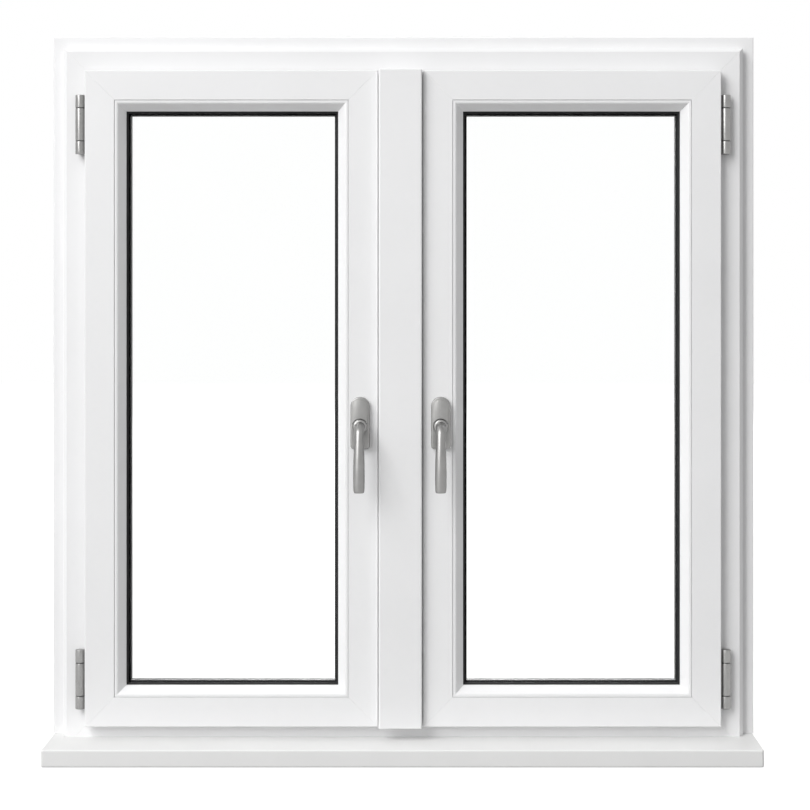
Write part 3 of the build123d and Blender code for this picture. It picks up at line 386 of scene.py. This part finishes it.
@dataclass
class Workbench:
    """Modelling steps that every new piece is made with."""

    smooth_angle: float = math.radians(35.0)

    def clear(self) -> None:
        """Deselect everything, so that an operator only meets the new piece."""
        bpy.ops.object.select_all(action="DESELECT")

    def hold(self, piece: Piece) -> None:
        """Make one piece the only one selected.

        Args:
            piece: Piece that the next operator acts on.
        """
        self.clear()
        piece.select_set(True)
        bpy.context.view_layer.objects.active = piece

    def settle(self) -> Piece:
        """Put the active object's place, turn and size into its vertices, and give the object."""
        bpy.ops.object.transform_apply(location=True, rotation=True, scale=True)
        return bpy.context.object

    def rod(self, radius: float, length: float, middle: Point, axis: RodAxis, sides: int) -> Piece:
        """Add a round rod.

        Args:
            radius: Radius of the rod.
            length: Length of the rod.
            middle: Centre of the rod.
            axis: Direction it runs in.
            sides: Number of flats round it.

        Returns:
            The new object, at the origin and unturned.
        """
        self.clear()
        bpy.ops.mesh.primitive_cylinder_add(
            vertices=sides, radius=radius, depth=length, location=middle, rotation=axis.value
        )
        return self.settle()

    def block(self, low: Point, high: Point) -> Piece:
        """Add a block.

        Args:
            low: Corner with the lowest coordinates.
            high: Corner with the highest ones.

        Returns:
            The new object, at the origin and unscaled.
        """
        middle = [(first + last) / 2 for first, last in zip(low, high)]
        size = [last - first for first, last in zip(low, high)]
        self.clear()
        bpy.ops.mesh.primitive_cube_add(size=1.0, location=middle, scale=size)
        return self.settle()

    def pick_edges(self, piece: Piece, wanted: EdgeTest) -> None:
        """Select the edges whose two ends pass a test, and nothing else.

        Args:
            piece: Piece with the edges.
            wanted: Test on an edge's two ends.
        """
        bpy.context.tool_settings.mesh_select_mode = (False, True, False)
        mesh = piece.data
        for item in (*mesh.vertices, *mesh.edges, *mesh.polygons):
            item.select = False
        for edge in mesh.edges:
            first, last = (mesh.vertices[index].co for index in edge.vertices)
            edge.select = wanted(first, last)

    def round_edges(self, piece: Piece, wanted: EdgeTest, width: float, steps: int) -> None:
        """Bevel chosen edges into a round.

        Args:
            piece: Piece to shape.
            wanted: Test on an edge's two ends.
            width: Width of the round.
            steps: Number of steps in it.
        """
        self.hold(piece)
        self.pick_edges(piece, wanted)
        bpy.ops.object.mode_set(mode="EDIT")
        bpy.ops.mesh.bevel(offset=width, segments=steps, profile=0.5, affect="EDGES")
        bpy.ops.object.mode_set(mode="OBJECT")

    def cut(self, piece: Piece, cutter: Piece, kind: Carve = Carve.TAKE_OUT) -> None:
        """Shape one piece by another and delete the second.

        Args:
            piece: Piece to shape.
            cutter: Closed shape that it is cut with.
            kind: What is left of the piece.
        """
        self.hold(piece)
        modifier = piece.modifiers.new("cut", "BOOLEAN")
        modifier.operation = kind.value
        modifier.solver = "MANIFOLD"
        modifier.object = cutter
        bpy.ops.object.modifier_apply(modifier=modifier.name)
        bpy.data.objects.remove(cutter)

    def soften(self, piece: Piece, width: float, steps: int) -> None:
        """Round every sharp edge that is left.

        Args:
            piece: Piece to shape.
            width: Width of the round.
            steps: Number of steps in it.
        """
        self.hold(piece)
        modifier = piece.modifiers.new("soften", "BEVEL")
        modifier.width = width
        modifier.segments = steps
        modifier.limit_method = "ANGLE"
        modifier.angle_limit = self.smooth_angle
        bpy.ops.object.modifier_apply(modifier=modifier.name)

    def subdivide(self, piece: Piece, levels: int) -> None:
        """Smooth a piece by subdivision.

        Args:
            piece: Piece to shape.
            levels: Number of times each face is split.
        """
        self.hold(piece)
        modifier = piece.modifiers.new("smooth", "SUBSURF")
        modifier.levels = levels
        modifier.render_levels = levels
        bpy.ops.object.modifier_apply(modifier=modifier.name)

    def copy(self, piece: Piece, step: Point) -> Piece:
        """Copy a piece with its own mesh and move the copy's vertices.

        Args:
            piece: Piece to copy.
            step: Way from the piece to its copy.

        Returns:
            The copy, at the origin.
        """
        self.hold(piece)
        bpy.ops.object.duplicate(linked=False)
        bpy.context.object.location = step
        return self.settle()

    def join(self, parts: list[Piece], name: str) -> Piece:
        """Make one piece of several and shade it smooth between sharp edges.

        Args:
            parts: Parts of the piece, or the piece alone.
            name: Name of the piece and its mesh.

        Returns:
            The finished piece.
        """
        self.clear()
        for part in parts:
            part.select_set(True)
        bpy.context.view_layer.objects.active = parts[0]
        if len(parts) > 1:
            bpy.ops.object.join()
        joined = bpy.context.object
        joined.name = name
        joined.data.name = name
        bpy.ops.object.shade_smooth_by_angle(angle=self.smooth_angle)
        return joined


@dataclass(frozen=True)
class Section:
    """One ring of the lever: its half sizes and the length of a straight run that leads to it."""

    half_width: float
    half_depth: float
    run: float = 0.0


@dataclass
class LeverLine:
    """Centre line of the lever while it is drawn: its end, the end's half sizes and its heading.

    The heading is 0 into the room and a quarter turn straight down.
    """

    x: float
    y: float
    z: float
    half_width: float
    half_depth: float
    heading: float = 0.0

    def run(self, length: float) -> None:
        """Extrude the selected end straight on.

        Args:
            length: Length of the run.
        """
        step = (0.0, -length * math.cos(self.heading), -length * math.sin(self.heading))
        bpy.ops.mesh.extrude_region_move(TRANSFORM_OT_translate={"value": step})
        self.y += step[1]
        self.z += step[2]

    def bend(self, turn: float, radius: float, steps: int = 1) -> None:
        """Spin the selected end downwards round an arc.

        Args:
            turn: Angle of the arc in radians.
            radius: Radius of the centre line.
            steps: Number of rings along it.
        """
        centre_y = self.y + radius * math.sin(self.heading)
        centre_z = self.z - radius * math.cos(self.heading)
        centre = (self.x, centre_y, centre_z)
        bpy.ops.mesh.spin(steps=steps, angle=turn, center=centre, axis=(-1.0, 0.0, 0.0))
        self.heading += turn
        self.y = centre_y - radius * math.sin(self.heading)
        self.z = centre_z + radius * math.cos(self.heading)

    def resize(self, ring: Section) -> None:
        """Scale the selected end to a ring's half sizes.

        Args:
            ring: Ring that gives the sizes.
        """
        wide = ring.half_width / self.half_width
        deep = ring.half_depth / self.half_depth
        bpy.ops.transform.resize(value=(wide, deep, deep), center_override=(self.x, self.y, self.z))
        self.half_width = ring.half_width
        self.half_depth = ring.half_depth


@dataclass
class HandleLever:
    """Cast lever: a collar with a rolled shoulder, a bent neck and a bowed, swelling grip."""

    axis_x: float
    bench: Workbench
    axis_z: float = 0.533
    collar_back: float = -0.0533
    root: Section = Section(0.0120, 0.0120)
    collar: tuple[Section, ...] = (
        Section(0.0120, 0.0120, 0.0100),
        Section(0.0118, 0.0118, 0.0015),
        Section(0.0111, 0.0111, 0.0014),
        Section(0.0100, 0.0100, 0.0009),
        Section(0.0090, 0.0090, 0.0003),
        Section(0.0083, 0.0083, 0.0001),
        Section(0.0079, 0.0079, 0.0004),
        Section(0.0079, 0.0079, 0.0021),
    )
    elbow_turn: float = math.radians(72.0)
    elbow_radius: float = 0.020
    elbow_steps: int = 9
    bow_turn: float = math.radians(3.0)
    bow_radius: float = 0.200
    bow: tuple[Section, ...] = (
        Section(0.0080, 0.0077),
        Section(0.0083, 0.0075),
        Section(0.0087, 0.0073),
        Section(0.0090, 0.0071),
        Section(0.0092, 0.0069),
        Section(0.0093, 0.0068),
    )
    tip: tuple[Section, ...] = (
        Section(0.0093, 0.0066, 0.0104),
        Section(0.0091, 0.0064, 0.0090),
        Section(0.0088, 0.0063, 0.0045),
        Section(0.0083, 0.0060, 0.0022),
        Section(0.0075, 0.0053, 0.0010),
        Section(0.0064, 0.0043, 0.0003),
    )
    tip_inset: float = 0.0012
    sides: int = 24
    smooth_levels: int = 2

    def start(self) -> tuple[Piece, LeverLine]:
        """Lay the round face at the back of the collar.

        Returns:
            The new object, and a line that starts at its middle.
        """
        place = (self.axis_x, self.collar_back, self.axis_z)
        self.bench.clear()
        bpy.ops.mesh.primitive_circle_add(
            vertices=self.sides,
            radius=self.root.half_width,
            fill_type="NGON",
            location=place,
            rotation=RodAxis.DEPTH.value,
        )
        return self.bench.settle(), LeverLine(*place, self.root.half_width, self.root.half_depth)

    def extrude(self, line: LeverLine, rings: tuple[Section, ...]) -> None:
        """Draw the selected end straight on through several rings.

        Args:
            line: Centre line so far.
            rings: Rings in their order.
        """
        for ring in rings:
            line.run(ring.run)
            line.resize(ring)

    def build(self, name: str) -> Piece:
        """Model the lever in its rest position, pointing down.

        Args:
            name: Name of the finished piece.

        Returns:
            The finished lever.
        """
        lever, line = self.start()
        bpy.ops.object.mode_set(mode="EDIT")
        bpy.ops.mesh.select_mode(type="FACE")
        bpy.ops.mesh.select_all(action="SELECT")
        self.extrude(line, self.collar)
        line.bend(self.elbow_turn, self.elbow_radius, self.elbow_steps)
        for ring in self.bow:
            line.bend(self.bow_turn, self.bow_radius)
            line.resize(ring)
        self.extrude(line, self.tip)
        bpy.ops.mesh.inset(thickness=self.tip_inset)
        bpy.ops.mesh.select_all(action="SELECT")
        bpy.ops.mesh.normals_make_consistent(inside=False)
        bpy.ops.object.mode_set(mode="OBJECT")
        self.bench.subdivide(lever, self.smooth_levels)
        return self.bench.join([lever], name)


@dataclass
class HandleCover:
    """Moulded cover of the handle: a rounded plate and a raised hood with an arc over the collar.

    Heights are above or below the lever's axis.
    """

    axis_x: float
    bench: Workbench
    axis_z: float = 0.533
    back: float = -0.048
    plate_front: float = -0.056
    plate_half: float = 0.0154
    plate_top: float = 0.047
    plate_foot: float = -0.036
    foot_corner: float = 0.004
    foot_steps: int = 8
    rim: float = 0.0022
    collar_hole: float = 0.0124
    hood_front: float = -0.064
    hood_half: float = 0.0122
    hood_top: float = 0.0440
    hood_sunk: float = 0.0005
    hood_arc: float = 0.0128
    hood_edge: float = 0.0020
    crown_radius: float = 0.036
    crown_length: float = 0.2
    crown_sides: int = 72
    edge_steps: int = 5
    arch_steps: int = 20
    arch_flat: float = 0.00002
    drill_length: float = 0.05
    drill_sides: int = 96

    def slab(self, half: float, heights: Span, depths: Span) -> Piece:
        """Make an upright slab with a half-round top.

        Args:
            half: Half of its width.
            heights: Its foot and its top.
            depths: Its front and its back.

        Returns:
            The new object.
        """
        foot, top = (self.axis_z + height for height in heights)
        front, back = depths
        slab = self.bench.block((self.axis_x - half, front, foot), (self.axis_x + half, back, top))

        def at_top(first: Vector, last: Vector) -> bool:
            """Tell whether an edge runs in depth at the top."""
            return abs(first.y - last.y) > SHORT and min(first.z, last.z) > top - NEAR

        self.bench.round_edges(slab, at_top, half - self.arch_flat, self.arch_steps)
        return slab

    def drill(self, piece: Piece, radius: float) -> None:
        """Cut a round hole about the lever's axis.

        Args:
            piece: Piece to drill.
            radius: Radius of the hole.
        """
        pivot = (self.axis_x, self.plate_front, self.axis_z)
        cutter = self.bench.rod(radius, self.drill_length, pivot, RodAxis.DEPTH, self.drill_sides)
        self.bench.cut(piece, cutter)

    def build_plate(self) -> Piece:
        """Model the plate with its rounded rim and the hole for the collar.

        Returns:
            The plate.
        """
        heights = (self.plate_foot, self.plate_top)
        plate = self.slab(self.plate_half, heights, (self.plate_front, self.back))
        foot = self.axis_z + self.plate_foot

        def at_foot(first: Vector, last: Vector) -> bool:
            """Tell whether an edge runs in depth at the foot."""
            return abs(first.y - last.y) > SHORT and max(first.z, last.z) < foot + NEAR

        def at_front(first: Vector, last: Vector) -> bool:
            """Tell whether an edge lies in the front face."""
            return max(first.y, last.y) < self.plate_front + NEAR

        self.bench.round_edges(plate, at_foot, self.foot_corner, self.foot_steps)
        self.bench.round_edges(plate, at_front, self.rim, self.edge_steps)
        self.drill(plate, self.collar_hole)
        return plate

    def build_hood(self) -> Piece:
        """Model the hood, with a crowned front and an arc round the collar.

        Returns:
            The hood.
        """
        depths = (self.hood_front, self.plate_front + self.hood_sunk)
        hood = self.slab(self.hood_half, (0.0, self.hood_top), depths)
        self.drill(hood, self.hood_arc)
        middle = (self.axis_x, self.hood_front + self.crown_radius, self.axis_z)
        crown = self.bench.rod(
            self.crown_radius, self.crown_length, middle, RodAxis.UPRIGHT, self.crown_sides
        )
        self.bench.cut(hood, crown, Carve.KEEP_INSIDE)
        self.bench.soften(hood, self.hood_edge, self.edge_steps)
        return hood

    def build(self, name: str) -> Piece:
        """Model the cover, as a piece of the given name."""
        return self.bench.join([self.build_plate(), self.build_hood()], name)


@dataclass
class BarrelHinges:
    """Turned barrels of the four hinges with their studs."""

    bench: Workbench
    axis_x: float = 0.520
    axis_y: float = -0.038
    heights: Span = (0.1246, 1.018)
    radius: float = 0.008
    end_length: float = 0.0205
    middle_length: float = 0.052
    end_gap: float = 0.00115
    edge: float = 0.0009
    edge_steps: int = 4
    barrel_sides: int = 72
    stud_radius: float = 0.003
    stud_sides: int = 32
    frame_stud: Span = (-0.032, 0.004)
    leaf_stud_length: float = 0.030
    leaf_stud_root: float = 0.002
    leaf_stud_half_gap: float = 0.015

    def barrel(self, length: float, middle: Point) -> Piece:
        """Make one barrel with turned edges.

        Args:
            length: Length of the barrel.
            middle: Its centre.

        Returns:
            The barrel.
        """
        rod = self.bench.rod(self.radius, length, middle, RodAxis.UPRIGHT, self.barrel_sides)
        self.bench.soften(rod, self.edge, self.edge_steps)
        return rod

    def stud(self, length: float, middle: Point, axis: RodAxis) -> Piece:
        """Make one stud, of the given length, centre and direction."""
        return self.bench.rod(self.stud_radius, length, middle, axis, self.stud_sides)

    def build_frame_side(self, name: str) -> Piece:
        """Model the end barrels, which stand on the jambs, of all four hinges.

        Args:
            name: Name of the finished piece.

        Returns:
            The barrels as one piece.
        """
        step = (self.middle_length + self.end_length) / 2 + self.end_gap
        lowest = self.heights[0] - step
        stud_front, stud_back = self.frame_stud
        barrel = self.barrel(self.end_length, (-self.axis_x, self.axis_y, lowest))
        stud_middle = (-self.axis_x, (stud_front + stud_back) / 2, lowest)
        stud = self.stud(stud_back - stud_front, stud_middle, RodAxis.DEPTH)
        model = self.bench.join([barrel, stud], name)
        copies = [model]
        for across in (0.0, 2 * self.axis_x):
            for height in self.heights:
                for rise in (0.0, 2 * step):
                    lift = height - self.heights[0] + rise
                    if across or lift:
                        copies.append(self.bench.copy(model, (across, 0.0, lift)))
        return self.bench.join(copies, name)

    def build_leaf_side(self, hand: Hand, name: str) -> Piece:
        """Model the middle barrels of one leaf's two hinges.

        Args:
            hand: Leaf that carries them.
            name: Name of the finished piece.

        Returns:
            The barrels as one piece.
        """
        lower, upper = self.heights
        parts = [self.barrel(self.middle_length, (hand.side * self.axis_x, self.axis_y, lower))]
        root = self.axis_x - self.radius + self.leaf_stud_root
        stud_x = hand.side * (root - self.leaf_stud_length / 2)
        for way in (-1, 1):
            middle = (stud_x, self.axis_y, lower + way * self.leaf_stud_half_gap)
            parts.append(self.stud(self.leaf_stud_length, middle, RodAxis.ACROSS))
        model = self.bench.join(parts, name)
        twin = self.bench.copy(model, (0.0, 0.0, upper - lower))
        return self.bench.join([model, twin], name)


@dataclass
class SubAssembly:
    """Pieces of the window that are finished together, as plain solids or as new fittings."""

    bench: Workbench
    paint: PaintShop
    nodes: dict[str, Piece]

    def dress_nodes(self, finishes: dict[Finish, tuple[str, ...]], prefix: str = "") -> list[Piece]:
        """Put finishes on plain solids.

        Args:
            finishes: Names of the solids that get each finish.
            prefix: Start of every name.

        Returns:
            The dressed solids.
        """
        dressed = []
        for finish, names in finishes.items():
            for name in names:
                piece = self.nodes[prefix + name]
                self.paint.dress(piece, finish)
                dressed.append(piece)
        return dressed

    def fit(self, piece: Piece, finish: Finish, body: str, node: str) -> Piece:
        """Finish a metal fitting and let it stand for its plain solid.

        Args:
            piece: New fitting.
            finish: Finish that it gets.
            body: Body that it moves with.
            node: Plain solid that it replaces.

        Returns:
            The fitting.
        """
        self.paint.dress(piece, finish)
        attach(piece, body)
        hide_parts(node)
        return piece


@dataclass
class FixedFrame(SubAssembly):
    """Frame profiles, mullion with its raised strip, seals, board, keeps and the jambs' barrels."""

    finishes: dict[Finish, tuple[str, ...]] = field(
        default_factory=lambda: {
            Finish.PROFILE: (
                "frame_left_jamb",
                "frame_right_jamb",
                "frame_head",
                "frame_bottom_rail",
                "mullion",
                "mullion_cover",
                "mullion_cover_caps",
                "base_profile",
            ),
            Finish.BOARD: ("window_sill",),
            Finish.RUBBER: ("frame_gaskets",),
            Finish.ZINC: ("frame_reinforcements", "lock_keeps", "hinge_pins"),
            Finish.NYLON: ("hinge_washers",),
        }
    )

    def dress(self) -> list[Piece]:
        """Put the finishes on the fixed solids, and give those."""
        return self.dress_nodes(self.finishes)

    def build(self) -> list[Piece]:
        """Model the barrels that stand on the jambs, and give the piece."""
        barrels = BarrelHinges(self.bench).build_frame_side("frame_hinge_barrels")
        return [self.fit(barrels, Finish.BRIGHT, "frame", "hinge_frame_knuckles")]


@dataclass
class Leaf(SubAssembly):
    """One opening leaf with its glass, handle, lock and hinge barrels."""

    hand: Hand
    handle_x: dict[Hand, float] = field(
        default_factory=lambda: {Hand.LEFT: -0.0687, Hand.RIGHT: 0.0607}
    )
    finishes: dict[Finish, tuple[str, ...]] = field(
        default_factory=lambda: {
            Finish.PROFILE: ("top_rail", "bottom_rail", "hinge_stile", "lock_stile", "glazing_beads"),
            Finish.GLASS: ("glass_panes",),
            Finish.SPACER: ("glass_spacer",),
            Finish.RUBBER: ("glazing_gaskets", "sash_gasket"),
            Finish.NYLON: ("setting_blocks",),
            Finish.ZINC: (
                "sash_reinforcements",
                "handle_base",
                "handle_screws",
                "handle_spindle",
                "lock_pinion",
                "lock_case",
                "drive_bar",
                "lock_cams",
            ),
        }
    )

    def dress(self) -> list[Piece]:
        """Put the finishes on the leaf's solids, and let light through the glass.

        Returns:
            The dressed solids.
        """
        prefix = f"{self.hand.value}_"
        self.nodes[f"{prefix}glass_panes"].visible_shadow = False
        return self.dress_nodes(self.finishes, prefix)

    def build(self) -> list[Piece]:
        """Model the leaf's handle and hinge barrels.

        Returns:
            The lever, its cover and the barrels.
        """
        side = self.hand.value
        axis_x = self.handle_x[self.hand]
        lever = HandleLever(axis_x, self.bench).build(f"{side}_cast_lever")
        cover = HandleCover(axis_x, self.bench).build(f"{side}_hooded_cover")
        barrels = BarrelHinges(self.bench).build_leaf_side(self.hand, f"{side}_leaf_hinge_barrels")
        return [
            self.fit(lever, Finish.CAST, f"{side}_handle", f"{side}_handle_lever"),
            self.fit(cover, Finish.SATIN, f"{side}_sash", f"{side}_handle_cover"),
            self.fit(barrels, Finish.BRIGHT, f"{side}_sash", f"{side}_hinge_knuckles"),
        ]


@dataclass(frozen=True)
class SoftLight:
    """One square soft light, with its power in watts."""

    name: str
    place: Point
    size: float
    power: float


@dataclass
class Studio:
    """Camera in front, soft light from the upper left, pale floor and white surroundings.

    The back light stands behind the window's middle, where the frame keeps it off the board.
    """

    camera_place: Point = (0.0514, -3.008, 0.719)
    lens_mm: float = 81.9
    sensor_mm: float = 36.0
    shift: Span = (-0.037, -0.117)
    aim: Point = (0.0, 0.0, 0.58)
    lights: tuple[SoftLight, ...] = (
        SoftLight("key_light", (-5.6, -6.3, 7.2), 7.0, 915.0),
        SoftLight("side_light", (-4.4, -6.8, 2.2), 2.6, 95.0),
        SoftLight("back_light", (0.0, 9.0, 4.2), 2.0, 550.0),
    )
    world_light: float = 0.465
    world_white: float = 1.0
    floor_size: float = 30.0
    floor_drop: float = 0.0005
    floor_grey: float = 0.27
    floor_glow: float = 0.9

    def add_camera(self) -> None:
        """Place the camera level, looking along the window's depth."""
        data = bpy.data.cameras.new("room_camera")
        data.lens = self.lens_mm
        data.sensor_width = self.sensor_mm
        data.shift_x, data.shift_y = self.shift
        camera = bpy.data.objects.new("room_camera", data)
        camera.location = self.camera_place
        camera.rotation_euler = (QUARTER_TURN, 0.0, 0.0)
        bpy.context.collection.objects.link(camera)
        bpy.context.scene.camera = camera

    def add_light(self, light: SoftLight) -> None:
        """Add one soft light, aimed at the window's middle.

        Args:
            light: Light to add.
        """
        data = bpy.data.lights.new(light.name, "AREA")
        data.size = light.size
        data.energy = light.power
        lamp = bpy.data.objects.new(light.name, data)
        lamp.location = light.place
        way = Vector(self.aim) - Vector(light.place)
        lamp.rotation_euler = way.to_track_quat("-Z", "Y").to_euler()
        bpy.context.collection.objects.link(lamp)

    def add_world(self) -> None:
        """Surround the window with even light that looks white."""
        world = bpy.data.worlds.new("white_room")
        bpy.context.scene.world = world
        nodes = NodeTree(world)
        sky = nodes.add("ShaderNodeBackground", Color=WHITE)
        rays = nodes.background_rays()
        strength = nodes.spread(rays, self.world_light, self.world_white, FULL_SPAN)
        nodes.join(strength, sky.inputs["Strength"])
        nodes.surface(sky)

    def add_floor(self) -> None:
        """Lay a pale floor that keeps a faint shadow and looks nearly white."""
        bpy.ops.object.select_all(action="DESELECT")
        bpy.ops.mesh.primitive_plane_add(size=self.floor_size, location=(0.0, 0.0, -self.floor_drop))
        floor = bpy.context.object
        floor.name = "pale_floor"
        material = bpy.data.materials.new("pale_floor")
        nodes = NodeTree(material)
        grey = (self.floor_grey, self.floor_grey, self.floor_grey, 1.0)
        matt = nodes.add("ShaderNodeBsdfDiffuse", Color=grey)
        glow = nodes.add("ShaderNodeEmission", Color=WHITE)
        strength = nodes.spread(nodes.background_rays(), 0.0, self.floor_glow, FULL_SPAN)
        nodes.join(strength, glow.inputs["Strength"])
        both = nodes.add("ShaderNodeAddShader")
        nodes.join(matt.outputs[0], both.inputs[0])
        nodes.join(glow.outputs[0], both.inputs[1])
        nodes.surface(both)
        floor.data.materials.append(material)

    def build(self) -> None:
        """Set up camera, lights, world and floor."""
        bpy.context.scene.view_settings.view_transform = "Standard"
        self.add_camera()
        self.add_world()
        for light in self.lights:
            self.add_light(light)
        self.add_floor()


def main() -> None:
    """Load the frame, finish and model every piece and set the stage."""
    logging.basicConfig(level=logging.INFO)
    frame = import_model()
    bench = Workbench()
    paint = PaintShop()
    leaves = [Leaf(bench, paint, frame["nodes"], hand) for hand in Hand]
    for assembly in (FixedFrame(bench, paint, frame["nodes"]), *leaves):
        for piece in (*assembly.dress(), *assembly.build()):
            LOG.info("%s: %s", piece.name, piece.active_material.name)
    Studio().build()
    LOG.info("studio ready")


if __name__ == "__main__":
    main()
